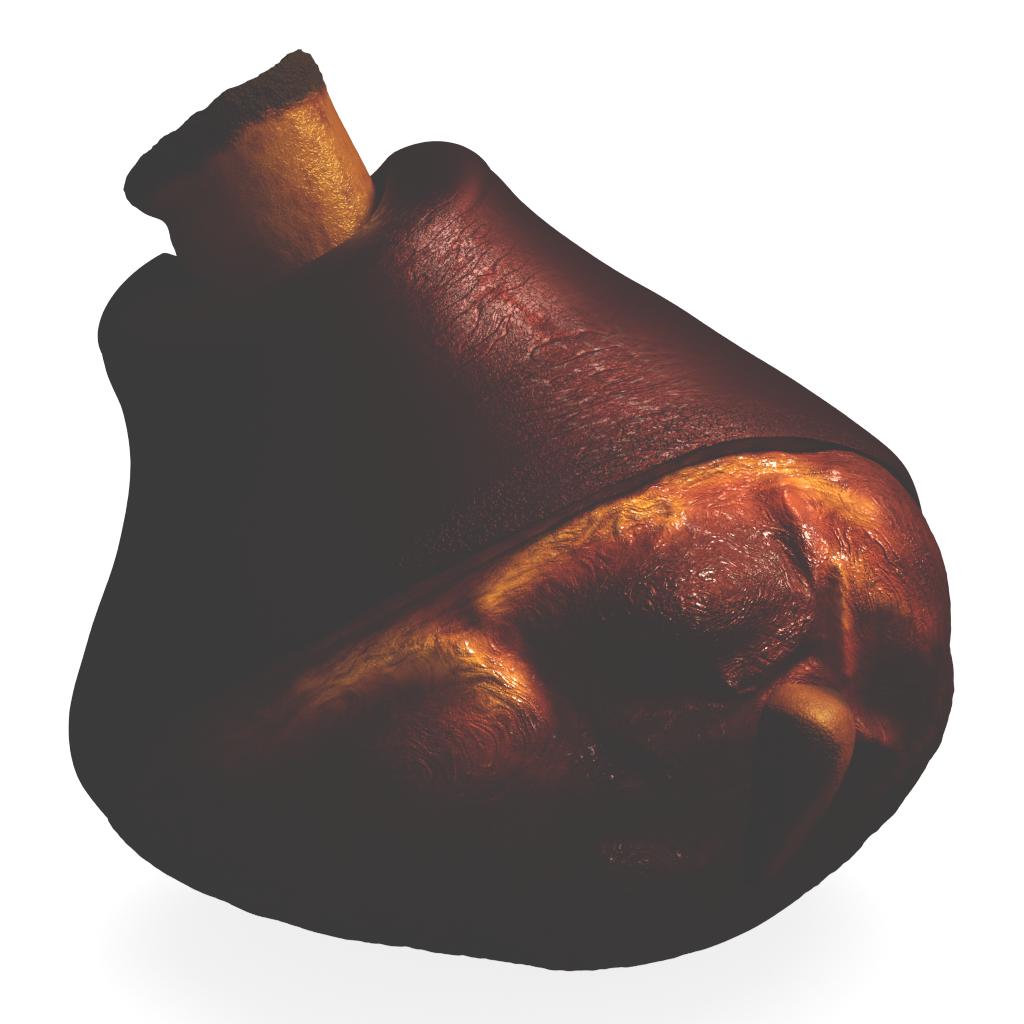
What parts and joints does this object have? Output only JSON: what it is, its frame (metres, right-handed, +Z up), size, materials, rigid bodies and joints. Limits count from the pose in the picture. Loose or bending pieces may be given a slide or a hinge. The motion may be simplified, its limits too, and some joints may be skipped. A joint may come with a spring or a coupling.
{
  "type": "smoked pork knuckle",
  "caption": "Smoked pork knuckle standing on its cut meat end: a cone of dark rind rolled round a sawn shank bone, with muscle and a joint bone showing below the rind's edge.",
  "frame": {"origin": "middle of the overall box at the flat spot it stands on", "axes": "+Z up, -Y towards the side where the cut meat shows most, +X to the right of that side; the shank bone leans up, left and back"},
  "size_m": [0.1378, 0.1276, 0.1372],
  "materials": {
    "smoked_rind": "glossy",
    "smoked_bone": "satin"
  },
  "bodies": {
    "root": {"knuckle": "smoked_rind", "shank_bone": "smoked_bone", "joint_bone": "smoked_bone"}
  },
  "joints": []
}
